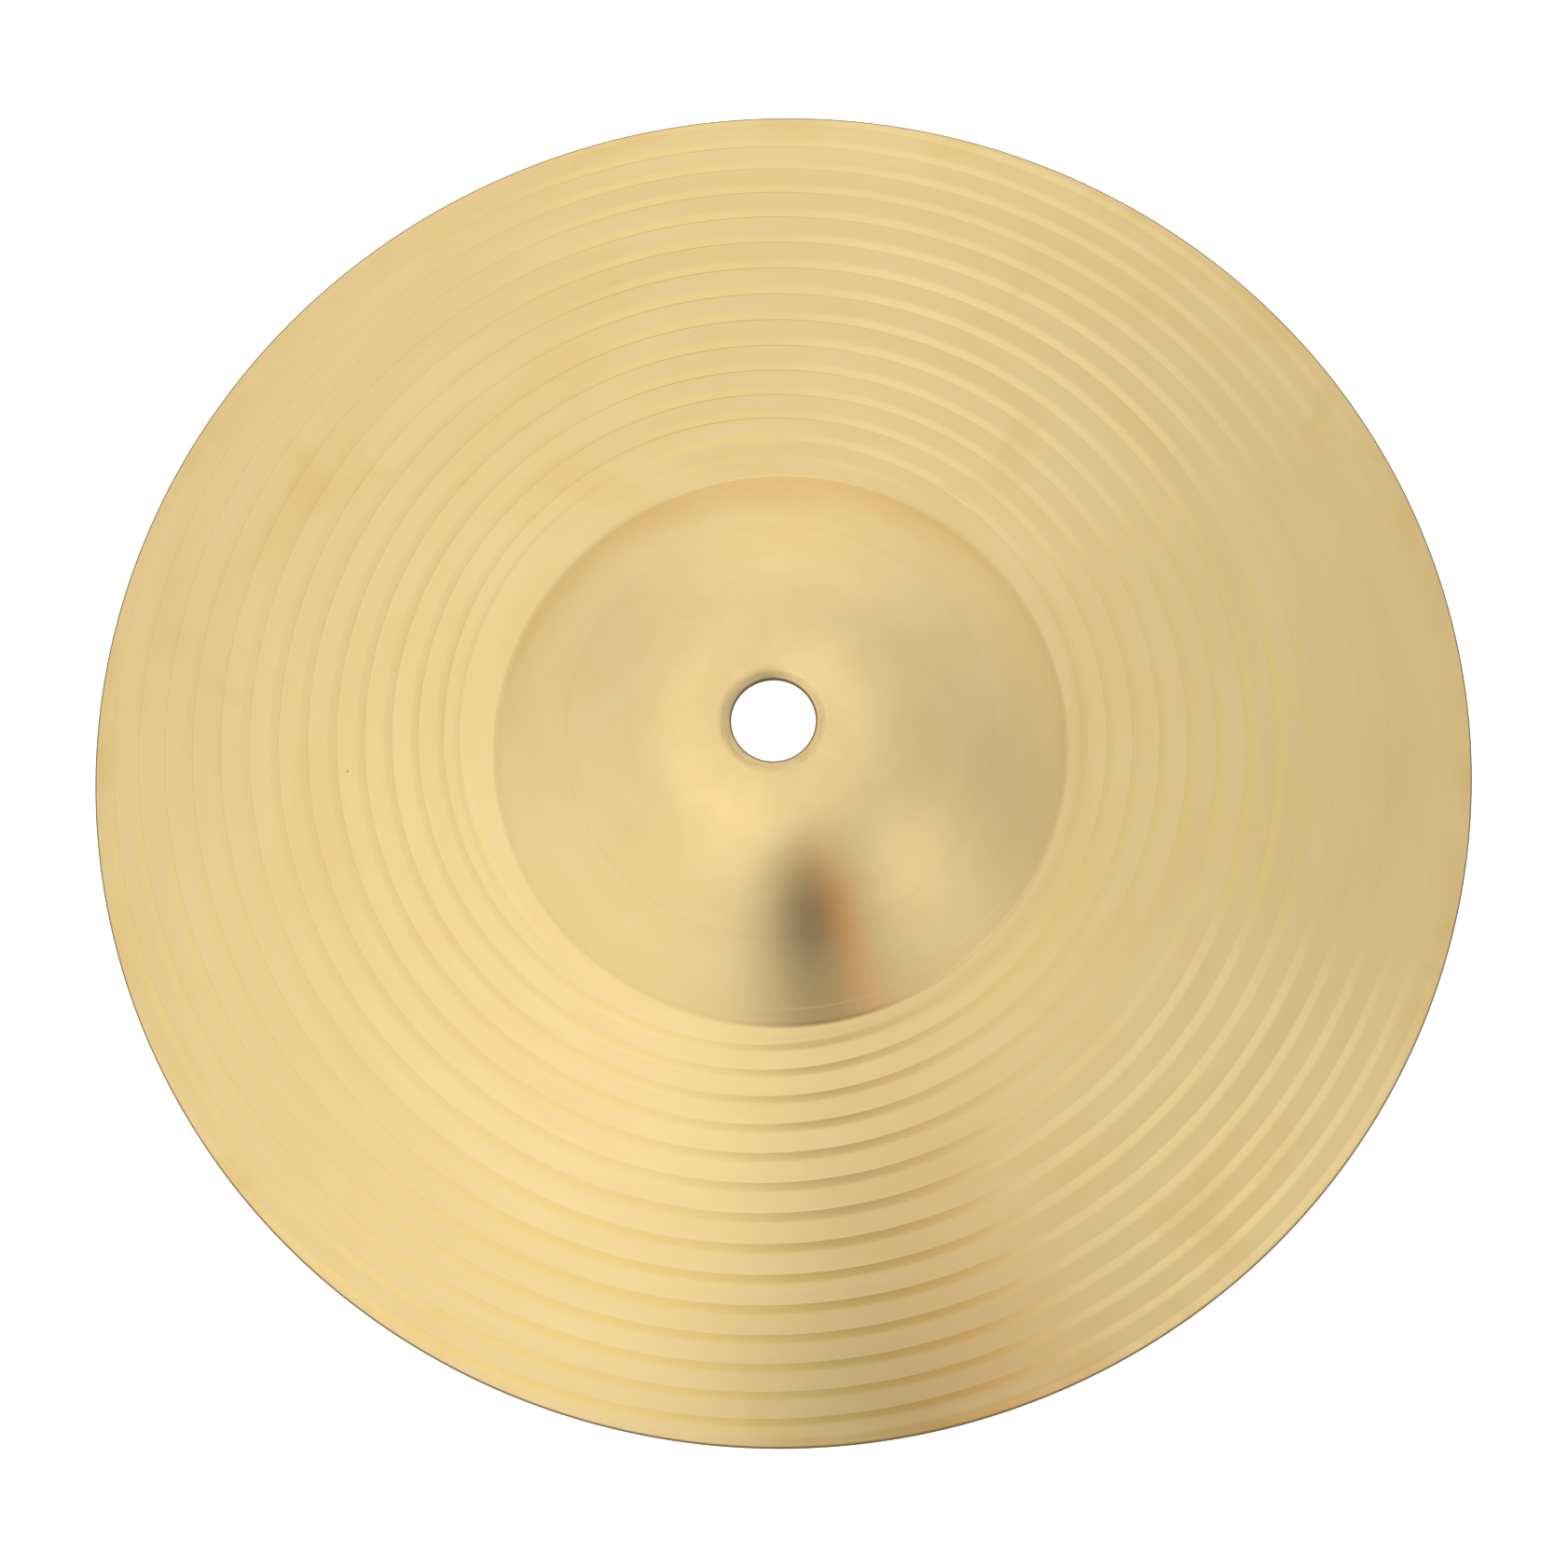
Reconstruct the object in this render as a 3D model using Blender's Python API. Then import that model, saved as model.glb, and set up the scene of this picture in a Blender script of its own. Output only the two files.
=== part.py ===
"""Turned brass cymbal: a domed bell, a gently curved bow and a central hole.

One lathe-turned sheet, so one solid.  Frame: origin at the centre of the
plane that the rim stands on, +Z up through the bell.  Metres.
"""
import math

import bmesh
import bpy

# ---- driving dimensions (metres) -------------------------------------------
DISC_RADIUS = 0.1016        # 8 inch disc
HOLE_RADIUS = 0.0061        # centre hole
HOLE_OFF_AXIS = -0.0007     # along X: the hole is punched slightly off centre
SEAT_RADIUS = 0.0096        # flat seat round the hole, where a felt rests
BELL_RADIUS = 0.0417        # where the bell meets the bow, on the top side
BELL_EDGE_Z = 0.0109        # top side's height at that crease
TOTAL_HEIGHT = 0.0266       # rim plane to the top of the bell
SHEET_BELL = 0.0011         # sheet thickness at the hole
SHEET_EDGE = 0.0007         # sheet thickness at the rim
RIM_LAND = 0.0012           # flat width on the underside of the rim
CREASE_FILLET = 0.0010      # half width of the concave blend between them

BELL_POWER = 1.5            # how fast the bell's slope grows from the seat
BELL_EASE = 3.5             # power of the term that straightens the flank
BELL_MIX = 1.75             # share of the growing term; the easing term has the rest
BOW_START_SLOPE = 0.065     # the bow's slope where it leaves the bell
BOW_POWER = 1.15            # how fast the bow's slope grows to the rim

SEGMENTS = 96               # facets round the disc
BELL_STEPS = 11             # rings on the bell
BOW_STEPS = 10              # rings on the bow
FILLET_STEPS = 3            # rings in the crease

# The slope of the bell grows as a power of the way out from the seat, and the
# slope of the bow as another, plus a start.  The rises fix the two factors.
BELL_SPAN = BELL_RADIUS - SEAT_RADIUS
BELL_FACTOR = (TOTAL_HEIGHT - BELL_EDGE_Z) / BELL_SPAN / (
    BELL_MIX / (BELL_POWER + 1.0) - (BELL_MIX - 1.0) / (BELL_EASE + 1.0))
BOW_SPAN = DISC_RADIUS - BELL_RADIUS
BOW_FACTOR = ((BELL_EDGE_Z - SHEET_EDGE) / BOW_SPAN - BOW_START_SLOPE) * (BOW_POWER + 1.0)


def bell(r):
    """(height, slope) of the bell's top side."""
    x = (r - SEAT_RADIUS) / BELL_SPAN
    drop = (BELL_MIX / (BELL_POWER + 1.0) * x ** (BELL_POWER + 1.0)
            - (BELL_MIX - 1.0) / (BELL_EASE + 1.0) * x ** (BELL_EASE + 1.0))
    slope = BELL_MIX * x ** BELL_POWER - (BELL_MIX - 1.0) * x ** BELL_EASE
    return TOTAL_HEIGHT - BELL_FACTOR * BELL_SPAN * drop, -BELL_FACTOR * slope


def bow(r):
    """(height, slope) of the bow's top side."""
    x = (r - BELL_RADIUS) / BOW_SPAN
    drop = BOW_START_SLOPE * x + BOW_FACTOR / (BOW_POWER + 1.0) * x ** (BOW_POWER + 1.0)
    return BELL_EDGE_Z - BOW_SPAN * drop, -BOW_START_SLOPE - BOW_FACTOR * x ** BOW_POWER


def crease(r):
    """(height, slope) in the concave blend: a cubic that keeps both heights
    and both slopes where it meets the bell and the bow."""
    a, b = BELL_RADIUS - CREASE_FILLET, BELL_RADIUS + CREASE_FILLET
    (za, sa), (zb, sb) = bell(a), bow(b)
    w = b - a
    t = (r - a) / w
    z = ((2 * t ** 3 - 3 * t ** 2 + 1) * za + (t ** 3 - 2 * t ** 2 + t) * w * sa
         + (3 * t ** 2 - 2 * t ** 3) * zb + (t ** 3 - t ** 2) * w * sb)
    s = ((6 * t ** 2 - 6 * t) * za / w + (3 * t ** 2 - 4 * t + 1) * sa
         + (6 * t - 6 * t ** 2) * zb / w + (3 * t ** 2 - 2 * t) * sb)
    return z, s


def top_side(r):
    """(height, slope) of the whole top side: seat, bell, crease, bow."""
    if r <= SEAT_RADIUS:
        return TOTAL_HEIGHT, 0.0
    if r < BELL_RADIUS - CREASE_FILLET:
        return bell(r)
    if r <= BELL_RADIUS + CREASE_FILLET:
        return crease(r)
    return bow(r)


def sheet(r):
    """Thickness, tapering evenly from the hole to the rim."""
    t = (r - HOLE_RADIUS) / (DISC_RADIUS - HOLE_RADIUS)
    return SHEET_BELL + (SHEET_EDGE - SHEET_BELL) * t


def spaced(a, b, count):
    return [a + (b - a) * i / count for i in range(count + 1)]


def section():
    """(radius, height) pairs round the sheet's section: out over the top,
    down the rim, back along the underside and up through the hole.  The first
    and the last pair are the hole's two edges."""
    radii = spaced(SEAT_RADIUS, BELL_RADIUS - CREASE_FILLET, BELL_STEPS)
    radii += spaced(BELL_RADIUS - CREASE_FILLET, BELL_RADIUS + CREASE_FILLET, FILLET_STEPS)[1:]
    radii += spaced(BELL_RADIUS + CREASE_FILLET, DISC_RADIUS, BOW_STEPS)[1:]
    top = [(HOLE_RADIUS, TOTAL_HEIGHT)] + [(r, top_side(r)[0]) for r in radii]

    # the underside is the top side moved in by the sheet's thickness
    seat_z = TOTAL_HEIGHT - sheet(SEAT_RADIUS)
    under = [(HOLE_RADIUS, seat_z), (SEAT_RADIUS - 0.0003, seat_z)]
    for r in radii[1:]:
        z, s = top_side(r)
        length = math.hypot(1.0, s)
        ru, zu = r + sheet(r) * s / length, z - sheet(r) / length
        if SEAT_RADIUS + 0.0004 < ru < DISC_RADIUS - RIM_LAND - 0.0010 and zu < seat_z - 0.00003:
            under.append((ru, zu))
    # and it ends in a flat land, on which the rim stands
    under += [(DISC_RADIUS - RIM_LAND, 0.0), (DISC_RADIUS, 0.0)]
    return top + under[::-1]


def turned(name, outline, segments):
    """Revolve a closed section about Z.  The section runs out along the top
    and back along the underside, which keeps the faces pointing out.  The
    hole's two rings are moved off the axis, inside the flat seat."""
    mesh = bpy.data.meshes.new(name)
    bm = bmesh.new()
    rings = []
    for r, z in outline:
        ring = []
        x = HOLE_OFF_AXIS if r == HOLE_RADIUS else 0.0
        for k in range(segments):
            a = 2.0 * math.pi * k / segments
            ring.append(bm.verts.new((x + r * math.cos(a), r * math.sin(a), z)))
        rings.append(ring)
    count = len(rings)
    for i in range(count):
        here, there = rings[i], rings[(i + 1) % count]
        for k in range(segments):
            m = (k + 1) % segments
            bm.faces.new((here[k], there[k], there[m], here[m]))
    bm.normal_update()
    bm.to_mesh(mesh)
    bm.free()
    mesh.shade_smooth()
    mesh.set_sharp_from_angle(angle=math.radians(30))
    obj = bpy.data.objects.new(name, mesh)
    bpy.context.scene.collection.objects.link(obj)
    return obj


def brass():
    mat = bpy.data.materials.new("turned_brass")
    mat.use_nodes = True
    bsdf = mat.node_tree.nodes["Principled BSDF"]
    bsdf.inputs["Base Color"].default_value = (0.88, 0.66, 0.32, 1.0)
    bsdf.inputs["Metallic"].default_value = 1.0
    bsdf.inputs["Roughness"].default_value = 0.30
    return mat


def main():
    for obj in list(bpy.data.objects):
        bpy.data.objects.remove(obj, do_unlink=True)
    disc = turned("cymbal_disc", section(), SEGMENTS)
    disc.data.materials.append(brass())


main()
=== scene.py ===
"""The looks of the turned brass cymbal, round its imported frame.

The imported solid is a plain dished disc.  This script makes the fine surface
in its place: the same section, with the spiral tone groove, the pressed lip
of the hole, the eased rim and the lathe marks, in turned brass.
"""
import math

import bpy
import numpy as np
from mathutils import Matrix, Vector


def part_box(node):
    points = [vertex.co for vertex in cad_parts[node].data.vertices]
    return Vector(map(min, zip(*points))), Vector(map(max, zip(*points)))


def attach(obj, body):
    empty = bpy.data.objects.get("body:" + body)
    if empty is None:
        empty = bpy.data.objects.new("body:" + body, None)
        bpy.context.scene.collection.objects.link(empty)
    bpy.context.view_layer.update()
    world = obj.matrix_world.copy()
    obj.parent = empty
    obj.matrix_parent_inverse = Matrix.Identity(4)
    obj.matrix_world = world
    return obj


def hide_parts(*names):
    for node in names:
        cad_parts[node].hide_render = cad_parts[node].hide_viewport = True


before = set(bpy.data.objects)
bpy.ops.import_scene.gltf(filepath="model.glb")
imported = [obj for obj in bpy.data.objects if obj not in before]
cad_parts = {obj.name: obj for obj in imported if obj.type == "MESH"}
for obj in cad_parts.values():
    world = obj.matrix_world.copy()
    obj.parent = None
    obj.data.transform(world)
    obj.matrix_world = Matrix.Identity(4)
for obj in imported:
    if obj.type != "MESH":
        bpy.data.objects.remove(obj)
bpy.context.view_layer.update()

# ---- the disc's sizes (metres) ----------------------------------------------
LO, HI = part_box("cymbal_disc")
R = (HI[0] - LO[0]) / 2.0            # disc radius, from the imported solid
TOP = HI[2] - LO[2]                  # rim plane to the top of the bell
HOLE = 0.0061                        # centre hole's radius
HOLE_X = -0.0007                     # the hole is punched off the axis
SEAT = 0.0096                        # seat round the hole
BELL = 0.0417                        # crease between bell and bow
BELL_Z = 0.0109
FILLET = 0.0004                      # the crease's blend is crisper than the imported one
T_BELL, T_EDGE = 0.0011, 0.0007      # sheet thickness at the hole and the rim
LAND = 0.0012                        # flat land under the rim
BELL_P, BELL_E, BELL_M = 1.5, 3.5, 1.75
BOW_A, BOW_P = 0.065, 1.15

SPAN = BELL - SEAT
BELL_F = (TOP - BELL_Z) / SPAN / (BELL_M / (BELL_P + 1.0) - (BELL_M - 1.0) / (BELL_E + 1.0))
WIDTH = R - BELL
BOW_F = ((BELL_Z - T_EDGE) / WIDTH - BOW_A) * (BOW_P + 1.0)


# ---- the section, on numpy arrays: (height, slope) ---------------------------
def bell(r):
    x = np.maximum(r - SEAT, 0.0) / SPAN
    drop = BELL_M / (BELL_P + 1.0) * x ** (BELL_P + 1.0) - (BELL_M - 1.0) / (BELL_E + 1.0) * x ** (BELL_E + 1.0)
    slope = BELL_M * x ** BELL_P - (BELL_M - 1.0) * x ** BELL_E
    return TOP - BELL_F * SPAN * drop, -BELL_F * slope


def bow(r):
    x = np.maximum(r - BELL, 0.0) / WIDTH
    drop = BOW_A * x + BOW_F / (BOW_P + 1.0) * x ** (BOW_P + 1.0)
    return BELL_Z - WIDTH * drop, -BOW_A - BOW_F * x ** BOW_P


def section(r):
    """Top side: bell, blended crease, bow."""
    r = np.asarray(r, dtype=np.float64)
    a, b = BELL - FILLET, BELL + FILLET
    (z1, s1), (z2, s2) = bell(r), bow(r)
    (za, sa), (zb, sb) = bell(np.float64(a)), bow(np.float64(b))
    w = b - a
    t = np.clip((r - a) / w, 0.0, 1.0)
    z3 = ((2 * t ** 3 - 3 * t ** 2 + 1) * za + (t ** 3 - 2 * t ** 2 + t) * w * sa
          + (3 * t ** 2 - 2 * t ** 3) * zb + (t ** 3 - t ** 2) * w * sb)
    s3 = ((6 * t ** 2 - 6 * t) * za / w + (3 * t ** 2 - 4 * t + 1) * sa
          + (6 * t - 6 * t ** 2) * zb / w + (3 * t ** 2 - 2 * t) * sb)
    z = np.where(r < a, z1, np.where(r > b, z2, z3))
    s = np.where(r < a, s1, np.where(r > b, s2, s3))
    return z, s


def smooth(x):
    x = np.clip(x, 0.0, 1.0)
    return x * x * (3.0 - 2.0 * x)


# ---- the spiral tone groove --------------------------------------------------
# One shallow groove runs out over the bow in about 14 turns.  The disc was
# chucked off centre for that cut, so the spiral's centre is a few millimetres
# off the axis, and the outer turns run off the rim on one side.
SP_X, SP_Y = -0.00165, 0.00248
# turns against radius in millimetres: the pitch opens from 3.7 to 4.4 mm and
# closes to 3.9 mm at the rim
SP_T = (2.24717e-05, -4.96941e-03, 5.95158e-01, -19.11236)
GROOVE_FIRST, GROOVE_LAST = -0.32, 13.72
GROOVE_FALL = (10.0, 4.2)            # extra slope of its face, degrees, first and last turn
GROOVE_IN, GROOVE_OUT = -0.13, 0.215  # where the face starts and runs out, in turns
GROOVE_LIP = 0.006                   # width of the abrupt lip before it
LAND_TILT = 0.10                     # share of the fall that the lands give back
GROOVE_LEAN = (-0.15, -0.28)         # the disc leant on the lathe: a deeper cut on the near left side


def groove_table():
    """Height of one turn against phase (-0.5..0.5), for a unit slope and pitch.
    The tool leaves an abrupt lip and, outside it, a face that eases out; the
    lands between climb back a little."""
    p = np.linspace(-0.5, 0.5, 2001)
    lip = (p >= GROOVE_IN - GROOVE_LIP) & (p < GROOVE_IN)
    q = (p - GROOVE_IN) / (GROOVE_OUT - GROOVE_IN)
    slope = np.where(q >= 0.0, -(1.0 - 0.55 * q) * smooth((1.0 - q) / 0.25), 0.0) + LAND_TILT
    slope = np.where(lip, 0.0, slope)
    slope = np.where(lip, -slope[:-1].sum() / lip[:-1].sum(), slope)
    z = np.concatenate([[0.0], np.cumsum(0.5 * (slope[1:] + slope[:-1]) * np.diff(p))])
    return p, z - z.max()


def spiral(x, y):
    """(phase from the nearest turn's line, turns from the start, pitch)."""
    dx, dy = x - SP_X, y - SP_Y
    rs = np.hypot(dx, dy) * 1000.0
    t = ((SP_T[0] * rs + SP_T[1]) * rs + SP_T[2]) * rs + SP_T[3]
    dt = (3 * SP_T[0] * rs + 2 * SP_T[1]) * rs + SP_T[2]
    turn = t + np.arctan2(dy, dx) / (2.0 * math.pi)
    return turn - np.round(turn), t, 0.001 / dt


GROOVE_P, GROOVE_Z = groove_table()


def groove(x, y):
    """Depth below the section, in metres."""
    phase, t, pitch = spiral(x, y)
    r = np.hypot(x, y)
    fall = np.radians(np.interp(r, (0.050, 0.095), GROOVE_FALL))
    fall = fall * (1.0 + (GROOVE_LEAN[0] * x + GROOVE_LEAN[1] * y) / r)
    shape = -np.interp(phase, GROOVE_P, GROOVE_Z) * pitch * fall
    fade = smooth((t - GROOVE_FIRST) / 0.25) * smooth((GROOVE_LAST - t) / 0.25 + 1.0)
    fade = fade * smooth((r - BELL - 0.0006) / 0.0032) * smooth((R - 0.0002 - r) / 0.0035)
    return shape * fade


# ---- the disc ----------------------------------------------------------------
SEGS = 288
RINGS_BELL = 30
# rows across one turn of the groove, closer at its crisp inner lip
ROW_PHASES = (-0.46, -0.36, -0.26, -0.18, -0.136, -0.130, -0.10, -0.06, -0.01, 0.04, 0.09, 0.13, 0.17, 0.215, 0.33)


def top_height(x, y, r):
    """Height of the finished top side at a point whose section radius is r."""
    z, _ = section(r)
    z = z - groove(x, y)
    # the hole's edge is pressed in: a shallow chamfer and a rounded corner
    d = np.hypot(x - HOLE_X, y) - HOLE
    lip = 0.00030 * (1.0 - smooth(d / 0.0019)) ** 1.0
    z = z - lip
    z = z - 0.00016 * np.clip(1.0 - d / 0.00035, 0.0, 1.0) ** 2
    # the rim's corner is eased
    e = R - r
    z = z - 0.00014 * np.clip(1.0 - e / 0.00028, 0.0, 1.0) ** 2
    return z


def rings():
    """Ring radii of the seat, bell and crease, closer where they turn quickly."""
    lip = [HOLE + (SEAT - HOLE) * (i / 16.0) ** 1.35 for i in range(17)]
    bell_r = [SEAT + (BELL - FILLET * 1.2 - SEAT) * i / RINGS_BELL for i in range(1, RINGS_BELL + 1)]
    crease = [BELL + FILLET * 1.2 * (-1.0 + 2.0 * i / 10.0) for i in range(1, 11)]
    return lip + bell_r + crease


EDGE_RINGS = (R - 0.0004, R - 0.00028, R - 0.00018, R - 0.0001, R - 0.00004, R)


def spiral_rows(inner, outer):
    """Radii, one line per row and one column per azimuth, of rows that follow
    the groove from the inner ring to the outer one.  A row that leaves the bow
    is held at its edge.  Also how many rows make one turn."""
    a = np.linspace(0.0, 2.0 * math.pi, SEGS, endpoint=False)
    r = np.linspace(inner - 0.0002, outer + 0.0002, 1500)
    x, y = r[:, None] * np.cos(a) - SP_X, r[:, None] * np.sin(a) - SP_Y
    rs = np.hypot(x, y) * 1000.0
    t = ((SP_T[0] * rs + SP_T[1]) * rs + SP_T[2]) * rs + SP_T[3]
    lean = np.arctan2(y, x) - a
    turn = t + (a + (lean + math.pi) % (2.0 * math.pi) - math.pi) / (2.0 * math.pi)
    first, last = math.floor(turn.min()) - 1, math.ceil(turn.max()) + 2
    levels = np.array([k + p for k in range(first, last) for p in ROW_PHASES])
    levels = levels[(levels > turn.min() - 1.02) & (levels < turn.max() + 1.02)]
    rows = np.stack([np.interp(levels, turn[:, j], r) for j in range(SEGS)], 1)
    return np.clip(rows, inner, outer), len(ROW_PHASES)


def place(radii):
    """Points for each ring: inside the seat the rings drift to the hole's
    own centre."""
    a = np.linspace(0.0, 2.0 * math.pi, SEGS, endpoint=False)
    r = np.asarray(radii)[:, None]
    shift = HOLE_X * np.clip((SEAT - r) / (SEAT - HOLE), 0.0, 1.0)
    return r * np.cos(a)[None] + shift, r * np.sin(a)[None] + 0.0 * shift, r + 0.0 * a[None]


def sheet(r):
    t = (r - HOLE) / (R - HOLE)
    return T_BELL + (T_EDGE - T_BELL) * t


def build_disc():
    x, y, r = place(rings())
    dome = np.stack([x, y, top_height(x, y, r)], -1)
    r, per_turn = spiral_rows(rings()[-1], EDGE_RINGS[0])
    a = np.linspace(0.0, 2.0 * math.pi, SEGS, endpoint=False)[None]
    x, y = r * np.cos(a), r * np.sin(a)
    bow_pts = np.stack([x, y, top_height(x, y, r)], -1)
    x, y, r = place(EDGE_RINGS)
    edge = np.stack([x, y, top_height(x, y, r)], -1)

    # underside: the section moved in by the sheet's thickness, with the rim's
    # land and a small burr-free corner at the hole
    under_r = [HOLE, HOLE + 0.00015, HOLE + 0.0004, HOLE + 0.001, HOLE + 0.002, SEAT - 0.0003]
    under_r += [SEAT + (BELL - FILLET - SEAT) * i / 16 for i in range(1, 17)]
    under_r += [BELL + FILLET * (-1.0 + 2.0 * i / 5.0) for i in range(1, 6)]
    under_r += [BELL + FILLET + (R - LAND - 0.0012 - BELL - FILLET) * i / 18 for i in range(1, 19)]
    ux, uy, ur = place(under_r)
    z, s = section(ur)
    t = sheet(ur)
    length = np.sqrt(1.0 + s * s)
    zu = z - t / length
    move = np.where(ur > SEAT, t * s / length, 0.0)
    k = (ur + move) / ur
    zu = np.minimum(zu, TOP - sheet(SEAT))
    corner = 0.00012 * np.clip(1.0 - (np.hypot(ux - HOLE_X, uy) - HOLE) / 0.0003, 0.0, 1.0) ** 2
    under = np.stack([ux * k, uy * k, zu + corner], -1)
    lx, ly, lr = place([R - LAND - 0.0002, R - LAND, R - 0.00012, R])
    lz = np.array([0.00004, 0.0, 0.0, 0.00012])[:, None] + 0.0 * lx
    land = np.stack([lx, ly, lz], -1)

    # closed rings: the dome going out, and the edge, land and underside coming
    # back in; the spiral rows fill the bow between them
    rings_pts = np.concatenate([dome, edge, land[::-1], under[::-1]], 0)
    n, n_dome, n_bow = len(rings_pts), len(dome), len(bow_pts)
    pts = np.concatenate([rings_pts, bow_pts], 0).reshape(-1, 3)
    idx = np.arange(n * SEGS).reshape(n, SEGS)
    here = np.concatenate([idx[:n_dome - 1], idx[n_dome:]], 0)
    there = np.concatenate([idx[1:n_dome], idx[n_dome + 1:], idx[:1]], 0)
    quads = [np.stack([here, there, np.roll(there, -1, 1), np.roll(here, -1, 1)], -1).reshape(-1, 4)]

    col = np.arange(SEGS)[None]
    rad = np.hypot(bow_pts[..., 0], bow_pts[..., 1])
    bow_i = np.arange(n_bow * SEGS).reshape(n_bow, SEGS) + n * SEGS
    bow_i = np.where(rad <= rings()[-1] + 1e-6, idx[n_dome - 1][col], bow_i)
    bow_i = np.where(rad >= EDGE_RINGS[0] - 1e-6, idx[n_dome][col], bow_i)
    # one turn further round, a row meets the row one pitch further in
    after = np.full((n_bow, 1), -1)
    after[per_turn:, 0] = bow_i[:-per_turn, 0]
    after[:per_turn, 0] = idx[n_dome - 1, 0]
    side = np.concatenate([bow_i[:, 1:], after], 1)
    quads.append(np.stack([bow_i[:-1], bow_i[1:], side[1:], side[:-1]], -1).reshape(-1, 4))
    quads = np.concatenate(quads, 0)
    # rows held at an edge collapse: drop empty faces, keep the triangles
    same = quads == np.roll(quads, -1, 1)
    quads, same = quads[same.sum(1) < 2], same[same.sum(1) < 2]
    count = 4 - same.sum(1)
    corners = quads[~same]
    used, corners = np.unique(corners, return_inverse=True)
    pts = pts[used]

    mesh = bpy.data.meshes.new("turned_cymbal")
    mesh.vertices.add(len(pts))
    mesh.vertices.foreach_set("co", pts.reshape(-1).astype(np.float32))
    mesh.loops.add(len(corners))
    mesh.loops.foreach_set("vertex_index", corners.astype(np.int32))
    mesh.polygons.add(len(count))
    mesh.polygons.foreach_set("loop_start", np.concatenate([[0], np.cumsum(count)[:-1]]).astype(np.int32))
    mesh.update(calc_edges=True)
    mesh.validate()
    mesh.shade_smooth()
    mesh.set_sharp_from_angle(angle=math.radians(22))
    obj = bpy.data.objects.new("turned_cymbal", mesh)
    bpy.context.scene.collection.objects.link(obj)
    return obj


# ---- node helpers --------------------------------------------------------------
class Nodes:
    """Short ways to write maths in a node tree."""

    def __init__(self, tree):
        self.tree = tree

    def add(self, kind, **values):
        node = self.tree.nodes.new(kind)
        for name, value in values.items():
            setattr(node, name, value)
        return node

    def link(self, value, socket):
        if isinstance(value, bpy.types.NodeSocket):
            self.tree.links.new(value, socket)
        else:
            socket.default_value = value

    def math(self, op, a, b=None, c=None, clamp=False):
        node = self.add("ShaderNodeMath", operation=op, use_clamp=clamp)
        for i, v in enumerate((a, b, c)):
            if v is not None:
                self.link(v, node.inputs[i])
        return node.outputs[0]

    def vec(self, op, a, b=None, c=None, scale=None, out=0):
        node = self.add("ShaderNodeVectorMath", operation=op)
        for i, v in enumerate((a, b, c)):
            if v is not None:
                self.link(v, node.inputs[i])
        if scale is not None:
            self.link(scale, node.inputs["Scale"])
        return node.outputs[out]

    def xyz(self, x, y, z):
        node = self.add("ShaderNodeCombineXYZ")
        for i, v in enumerate((x, y, z)):
            self.link(v, node.inputs[i])
        return node.outputs[0]

    def split(self, v):
        node = self.add("ShaderNodeSeparateXYZ")
        self.link(v, node.inputs[0])
        return node.outputs

    def noise(self, v, scale, detail=2.0, rough=0.5, distortion=0.0):
        node = self.add("ShaderNodeTexNoise", noise_dimensions="3D")
        self.link(v, node.inputs["Vector"])
        node.inputs["Scale"].default_value = scale
        node.inputs["Detail"].default_value = detail
        node.inputs["Roughness"].default_value = rough
        node.inputs["Distortion"].default_value = distortion
        return node.outputs["Fac"]

    def step(self, v, lo, hi, to_lo=0.0, to_hi=1.0):
        node = self.add("ShaderNodeMapRange", interpolation_type="SMOOTHSTEP")
        self.link(v, node.inputs["Value"])
        for name, value in (("From Min", lo), ("From Max", hi), ("To Min", to_lo), ("To Max", to_hi)):
            node.inputs[name].default_value = value
        return node.outputs["Result"]

    def mix(self, fac, a, b, kind="MIX"):
        node = self.add("ShaderNodeMix", data_type="RGBA", blend_type=kind)
        self.link(fac, node.inputs["Factor"])
        self.link(a, node.inputs["A"])
        self.link(b, node.inputs["B"])
        return node.outputs["Result"]


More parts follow.
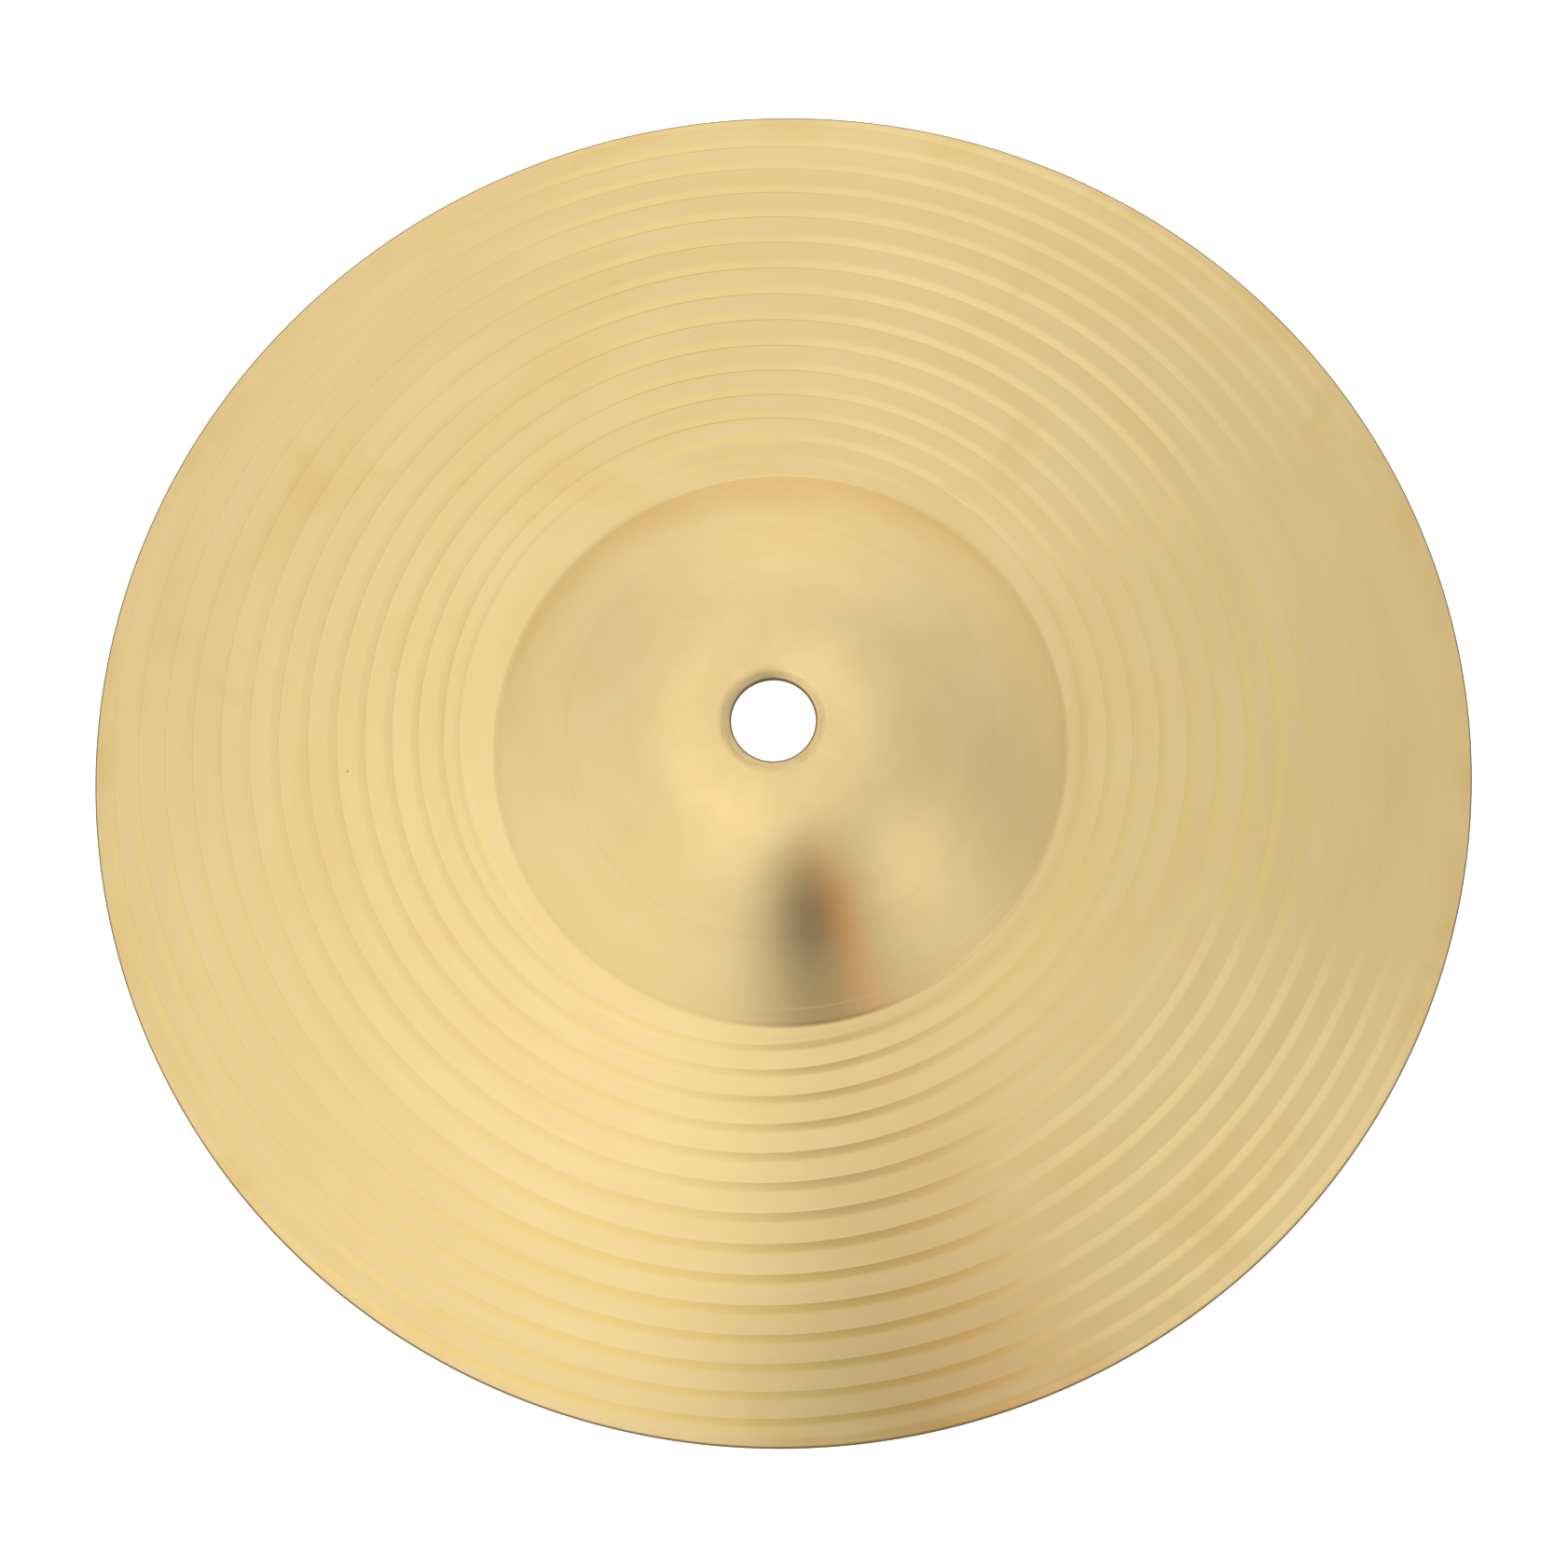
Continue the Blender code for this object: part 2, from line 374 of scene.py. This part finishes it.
# ---- turned brass ---------------------------------------------------------------
def turned_brass():
    mat = bpy.data.materials.new("turned_brass")
    mat.use_nodes = True
    tree = mat.node_tree
    n = Nodes(tree)
    bsdf = tree.nodes["Principled BSDF"]

    pos = n.add("ShaderNodeTexCoord").outputs["Object"]
    p = n.split(pos)
    flat = n.xyz(p[0], p[1], 0.0)
    r = n.vec("LENGTH", flat, out=1)
    r_mm = n.math("MULTIPLY", r, 1000.0)
    ring = n.split(n.vec("NORMALIZE", flat))      # direction from the axis, with no seam

    # lathe coordinates: quick across the rings, slow along them
    def lathe(per_mm, along):
        return n.xyz(n.math("MULTIPLY", r_mm, per_mm),
                     n.math("MULTIPLY", ring[0], along),
                     n.math("MULTIPLY", ring[1], along))

    fine = n.noise(lathe(3.2, 1.3), 1.0, 3.0, 0.6)
    mid = n.noise(lathe(0.9, 0.9), 1.0, 2.0, 0.5)
    broad = n.noise(lathe(0.16, 2.2), 1.0, 2.0, 0.5)
    cloud = n.noise(pos, 38.0, 4.0, 0.55, 0.4)
    speck = n.noise(pos, 900.0, 2.0, 0.5)

    # the spiral groove's turn, as in the mesh
    q = n.split(n.vec("SUBTRACT", flat, (SP_X, SP_Y, 0.0)))
    qv = n.xyz(q[0], q[1], 0.0)
    rs = n.math("MULTIPLY", n.vec("LENGTH", qv, out=1), 1000.0)
    t = n.math("MULTIPLY_ADD", rs, SP_T[0], SP_T[1])
    t = n.math("MULTIPLY_ADD", t, rs, SP_T[2])
    t = n.math("MULTIPLY_ADD", t, rs, SP_T[3])
    turn = n.math("ADD", t, n.math("DIVIDE", n.math("ARCTAN2", q[1], q[0]), 2.0 * math.pi))
    saw = n.math("SUBTRACT", turn, n.math("ROUND", turn))       # -0.5..0.5 across a land
    in_groove = n.math("MULTIPLY", n.step(saw, -0.145, -0.115), n.step(saw, 0.27, 0.10))
    on_bow = n.step(r_mm, 1000.0 * BELL + 1.5, 1000.0 * BELL + 4.0)
    in_groove = n.math("MULTIPLY", in_groove, on_bow)

    # colour: pale gold, a little warmer in clouds, yellow tarnish left in parts of the
    # groove and near the rim, and painted light in the groove by sector round the disc:
    # the tarnish thinned in places, a painted warm reflection and a painted highlight
    base = n.mix(n.step(broad, 0.30, 0.72), (0.905, 0.690, 0.335, 1.0), (0.875, 0.655, 0.305, 1.0))
    base = n.mix(n.math("MULTIPLY", n.step(cloud, 0.52, 0.78), 0.35), base, (0.86, 0.62, 0.25, 1.0))
    patch = n.noise(pos, 22.0, 3.0, 0.55, 0.6)
    tarnish_and_painted_fade = n.step(patch, 0.38, 0.72, 0.45, 1.0)

    def towards(dx, dy, lo, hi, to_lo=0.0, to_hi=1.0):
        return n.step(n.math("MULTIPLY_ADD", ring[1], dy, n.math("MULTIPLY", ring[0], dx)), lo, hi, to_lo, to_hi)

    # painted light: the groove's tarnish is thinned towards the left, the far right and, on the outer turns, the
    # right, following how the groove reflects the light round the disc
    tarnish_and_painted_fade = n.math("MULTIPLY", tarnish_and_painted_fade, towards(-0.82, 0.574, 0.72, 0.92, 1.0, 0.12))
    tarnish_and_painted_fade = n.math("MULTIPLY", tarnish_and_painted_fade, towards(0.5, 0.866, 0.84, 0.96, 1.0, 0.10))
    outer_right = n.math("MULTIPLY", towards(1.0, 0.0, 0.45, 0.80), n.step(r_mm, 70.0, 84.0))
    tarnish_and_painted_fade = n.math("MULTIPLY", tarnish_and_painted_fade, n.math("MULTIPLY_ADD", outer_right, -0.65, 1.0))
    base = n.mix(n.math("MULTIPLY", in_groove, tarnish_and_painted_fade), base, (0.950, 0.706, 0.300, 1.0))
    # painted reflection: a warmer, slightly darker tone in the groove on the near side, growing from the middle
    # turns outward
    painted_warm_reflection = n.math("MULTIPLY", towards(0.10, -0.995, 0.55, 0.90), n.step(r_mm, 64.0, 80.0, 0.0, 0.65))
    base = n.mix(n.math("MULTIPLY", in_groove, painted_warm_reflection), base, (0.935, 0.665, 0.232, 1.0))
    # painted highlight: the groove made brighter on the near right from about 60 mm out, and on the far right,
    # fainter towards the rim
    painted_glint = n.math("MULTIPLY", towards(0.643, -0.766, 0.88, 0.97), n.step(r_mm, 60.0, 68.0))
    right = n.math("MULTIPLY", towards(0.574, 0.819, 0.84, 0.98), n.step(r_mm, 74.0, 90.0, 1.0, 0.6))
    painted_glint = n.math("MAXIMUM", painted_glint, right)
    base = n.mix(n.math("MULTIPLY", in_groove, painted_glint), base, (1.0, 0.768, 0.372, 1.0))
    near_rim = n.step(r_mm, 96.0, 101.2)
    rim_patch = n.noise(pos, 60.0, 3.0, 0.6, 0.5)
    base = n.mix(n.math("MULTIPLY", n.math("MULTIPLY", near_rim, n.step(rim_patch, 0.45, 0.7)), 0.45),
                 base, (0.80, 0.55, 0.19, 1.0))
    # lathe lines carry a faint tone of their own
    base = n.mix(n.step(fine, 0.62, 0.80, 0.0, 0.10), base, (0.70, 0.48, 0.20, 1.0))

    # smears of yellow tarnish that cross the lands
    smear = n.noise(n.xyz(n.math("MULTIPLY", p[0], 34.0), n.math("MULTIPLY", p[1], 34.0), 4.7), 1.0, 4.0, 0.62, 0.9)
    smear = n.math("MULTIPLY", n.step(smear, 0.56, 0.72), on_bow)
    base = n.mix(n.math("MULTIPLY", smear, 0.45), base, (0.850, 0.605, 0.240, 1.0))
    # a few pits, each a fifth of a millimetre across
    cells = n.add("ShaderNodeTexVoronoi", feature="F1")
    n.link(flat, cells.inputs["Vector"])
    cells.inputs["Scale"].default_value = 95.0
    pit = n.math("MULTIPLY", n.step(cells.outputs["Distance"], 0.026, 0.012),
                 n.step(n.split(cells.outputs["Color"])[0], 0.955, 0.957))
    base = n.mix(n.math("MULTIPLY", pit, 0.6), base, (0.33, 0.22, 0.11, 1.0))
    # a scratch turned into the bell's edge on the near side, and a faint ring
    # half way down the bell
    side = n.math("MULTIPLY_ADD", ring[1], -0.94, n.math("MULTIPLY", ring[0], 0.34))
    wander = n.noise(n.xyz(ring[0], ring[1], 0.3), 2.2, 2.0, 0.5)
    at = n.math("MULTIPLY_ADD", wander, 0.9, 39.25)
    scuff = n.math("MULTIPLY", n.step(n.math("ABSOLUTE", n.math("SUBTRACT", r_mm, at)), 0.20, 0.05),
                   n.step(side, 0.80, 0.93))
    base = n.mix(n.math("MULTIPLY", scuff, 0.40), base, (1.0, 0.82, 0.50, 1.0))
    faint = n.step(n.math("ABSOLUTE", n.math("SUBTRACT", r_mm, 31.0)), 0.45, 0.15)
    base = n.mix(n.math("MULTIPLY", faint, 0.05), base, (0.60, 0.44, 0.22, 1.0))

    # worn lip of the hole, and the cut edges of the hole and rim, are browner
    hx = n.vec("LENGTH", n.xyz(n.math("SUBTRACT", p[0], HOLE_X), p[1], 0.0), out=1)
    lip = n.step(hx, 0.0085, 0.0067)
    scratch = n.noise(n.xyz(n.math("MULTIPLY", hx, 4200.0), n.math("MULTIPLY", ring[0], 3.0),
                            n.math("MULTIPLY", ring[1], 3.0)), 1.0, 2.0, 0.6)
    base = n.mix(n.math("MULTIPLY", lip, n.step(scratch, 0.35, 0.75, 0.05, 0.55)), base,
                 (0.52, 0.36, 0.17, 1.0))
    # the hole's lip made darker on its far side, a little to the left
    lip_darker_far_side = n.math("MULTIPLY", n.step(hx, 0.0078, 0.0063), towards(-0.42, 0.907, 0.25, 0.95))
    base = n.mix(n.math("MULTIPLY", lip_darker_far_side, 0.50), base, (0.40, 0.30, 0.16, 1.0))
    wall = n.math("MAXIMUM", n.step(r, R - 0.00032, R - 0.00013), n.step(hx, HOLE + 0.00032, HOLE + 0.00014))
    base = n.mix(n.math("MULTIPLY", wall, 0.85), base, (0.24, 0.185, 0.125, 1.0))
    n.link(base, bsdf.inputs["Base Color"])
    bsdf.inputs["Metallic"].default_value = 1.0

    rough = n.math("MULTIPLY_ADD", mid, 0.02, 0.205)
    rough = n.math("MULTIPLY_ADD", cloud, 0.02, rough)
    rough = n.math("MULTIPLY_ADD", lip, 0.08, rough)
    crease = n.step(n.math("ABSOLUTE", n.math("SUBTRACT", r_mm, 1000.0 * BELL)), 0.60, 0.30)
    rough = n.math("MULTIPLY_ADD", crease, 0.05, rough)
    rough = n.math("MULTIPLY_ADD", scuff, 0.12, rough)
    rough = n.math("MULTIPLY_ADD", wall, 0.25, rough)
    n.link(rough, bsdf.inputs["Roughness"])
    bsdf.inputs["Anisotropic"].default_value = 0.92
    bsdf.inputs["Anisotropic Rotation"].default_value = 0.25
    tangent = n.add("ShaderNodeTangent", direction_type="RADIAL", axis="Z")
    n.link(tangent.outputs[0], bsdf.inputs["Tangent"])

    # relief: lathe lines, faint unevenness and pits
    h = n.math("MULTIPLY", fine, 0.60)
    h = n.math("MULTIPLY_ADD", mid, 0.30, h)
    h = n.math("MULTIPLY_ADD", speck, 0.10, h)
    h = n.math("MULTIPLY_ADD", n.math("MULTIPLY", scratch, lip), 1.4, h)
    bump = n.add("ShaderNodeBump")
    bump.inputs["Strength"].default_value = 1.0
    bump.inputs["Distance"].default_value = 0.0000045
    n.link(h, bump.inputs["Height"])
    n.link(bump.outputs[0], bsdf.inputs["Normal"])
    return mat


# ---- the studio ----------------------------------------------------------------
# A plain soft tent, seen as a function of direction on a flat map of the sky
# (u to the right, v away from the camera, 0 overhead): an even grey that is
# brighter to the left, a few large soft lamps, a dark gap where the camera
# stands and a warm strip beside it.
TENT = (0.75, -0.20, 0.0, 0.05, 0.07, 0.25)          # 1, u, v, uu, vv, uv
LAMPS = (                            # centre u, v, half widths, turn, colour
    (-0.20, -0.24, 0.14, 0.18, 0.60, (0.17, 0.17, 0.17)),     # near left
    (-0.08, 0.08, 0.09, 0.16, 0.20, (0.46, 0.46, 0.46)),      # overhead
    (0.05, 0.65, 0.25, 0.16, 0.0, (0.21, 0.21, 0.21)),        # far side
    (0.00, 0.88, 0.45, 0.06, 0.0, (0.20, 0.20, 0.20)),        # low on the far side
    (0.42, -0.36, 0.20, 0.20, 0.0, (0.31, 0.31, 0.31)),       # near right
    (0.06, -0.52, 0.13, 0.20, -0.15, (-0.67, -0.67, -0.67)),  # the camera's gap
    (0.02, -0.16, 0.05, 0.14, 0.0, (-0.23, -0.23, -0.23)),    # its narrow end
    (0.17, -0.50, 0.05, 0.22, 0.25, (0.13, -0.05, -0.14)),    # warm strip
)


def studio_world(base, lamps):
    world = bpy.data.worlds.new("studio")
    bpy.context.scene.world = world
    world.cycles.sampling_method = "NONE"    # wide and soft: the metal's own sampling finds it
    world.use_nodes = True
    tree = world.node_tree
    tree.nodes.clear()
    n = Nodes(tree)
    d = n.vec("NORMALIZE", n.add("ShaderNodeTexCoord").outputs["Generated"])
    x, y, z = n.split(d)
    up = n.math("MAXIMUM", n.math("ADD", z, 1.0), 0.35)
    k = n.math("DIVIDE", n.math("SQRT", n.math("DIVIDE", 2.0, up)), 1.5811)
    u, v = n.math("MULTIPLY", x, k), n.math("MULTIPLY", y, k)
    terms = (None, u, v, n.math("MULTIPLY", u, u), n.math("MULTIPLY", v, v), n.math("MULTIPLY", u, v))
    total = (base[0],) * 3
    for term, power in zip(terms[1:], base[1:]):
        total = n.vec("MULTIPLY_ADD", n.xyz(term, term, term), (power,) * 3, total)
    for uk, vk, su, sv, turn, colour in lamps:
        c, s = math.cos(turn), math.sin(turn)
        du, dv = n.math("SUBTRACT", u, uk), n.math("SUBTRACT", v, vk)
        a = n.math("DIVIDE", n.math("MULTIPLY_ADD", dv, s, n.math("MULTIPLY", du, c)), su)
        b = n.math("DIVIDE", n.math("MULTIPLY_ADD", dv, c, n.math("MULTIPLY", du, -s)), sv)
        e = n.math("MULTIPLY", n.math("MULTIPLY_ADD", a, a, n.math("MULTIPLY", b, b)), -0.5)
        g = n.math("EXPONENT", e)
        total = n.vec("MULTIPLY_ADD", n.xyz(g, g, g), colour, total)
    total = n.vec("MAXIMUM", total, (0.02, 0.02, 0.02))
    lit = n.add("ShaderNodeBackground")
    n.link(total, lit.inputs["Color"])
    plain = n.add("ShaderNodeBackground")
    plain.inputs["Color"].default_value = (1.0, 1.0, 1.0, 1.0)
    seen = n.add("ShaderNodeLightPath").outputs["Is Camera Ray"]
    both = n.add("ShaderNodeMixShader")
    n.link(seen, both.inputs[0])
    n.link(lit.outputs[0], both.inputs[1])
    n.link(plain.outputs[0], both.inputs[2])
    out = n.add("ShaderNodeOutputWorld")
    n.link(both.outputs[0], out.inputs["Surface"])


def floor():
    mesh = bpy.data.meshes.new("floor")
    s = 6.0
    mesh.from_pydata([(-s, -s, 0), (s, -s, 0), (s, s, 0), (-s, s, 0)], [], [(0, 1, 2, 3)])
    obj = bpy.data.objects.new("floor", mesh)
    obj.location = (0.0, 0.0, LO[2] - 0.0002)
    bpy.context.scene.collection.objects.link(obj)
    mat = bpy.data.materials.new("pale_floor")
    mat.use_nodes = True
    bsdf = mat.node_tree.nodes["Principled BSDF"]
    bsdf.inputs["Base Color"].default_value = (0.92, 0.92, 0.92, 1.0)
    bsdf.inputs["Roughness"].default_value = 0.9
    bsdf.inputs["Specular IOR Level"].default_value = 0.0
    bsdf.inputs["Emission Color"].default_value = (1.0, 1.0, 1.0, 1.0)
    n = Nodes(mat.node_tree)
    seen = n.add("ShaderNodeLightPath").outputs["Is Camera Ray"]
    n.link(n.math("MULTIPLY_ADD", seen, 0.85, 0.15), bsdf.inputs["Emission Strength"])
    mesh.materials.append(mat)


def camera():
    tilt, roll, distance, focal_px, width = math.radians(14.929), math.radians(-4.817), 1.0, 7268.9, 1682
    target = Vector((0.00005, -0.00261, 0.0))
    back = Vector((0.0, -math.sin(tilt), math.cos(tilt)))
    right = Vector((1.0, 0.0, 0.0))
    up = back.cross(right)
    c, s = math.cos(roll), math.sin(roll)
    x, y = right * c + up * s, up * c - right * s
    data = bpy.data.cameras.new("camera")
    data.sensor_width = 36.0
    data.lens = 36.0 * focal_px / width
    data.clip_start, data.clip_end = 0.01, 50.0
    obj = bpy.data.objects.new("camera", data)
    m = Matrix((x, y, back)).transposed().to_4x4()
    m.translation = target + back * distance
    obj.matrix_world = m
    bpy.context.scene.collection.objects.link(obj)
    bpy.context.scene.camera = obj


# ---- put together -----------------------------------------------------------------
disc = build_disc()
disc.data.materials.append(turned_brass())
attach(disc, "root")
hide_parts("cymbal_disc")

floor()
studio_world(TENT, LAMPS)
camera()
bpy.context.scene.view_settings.view_transform = "Standard"
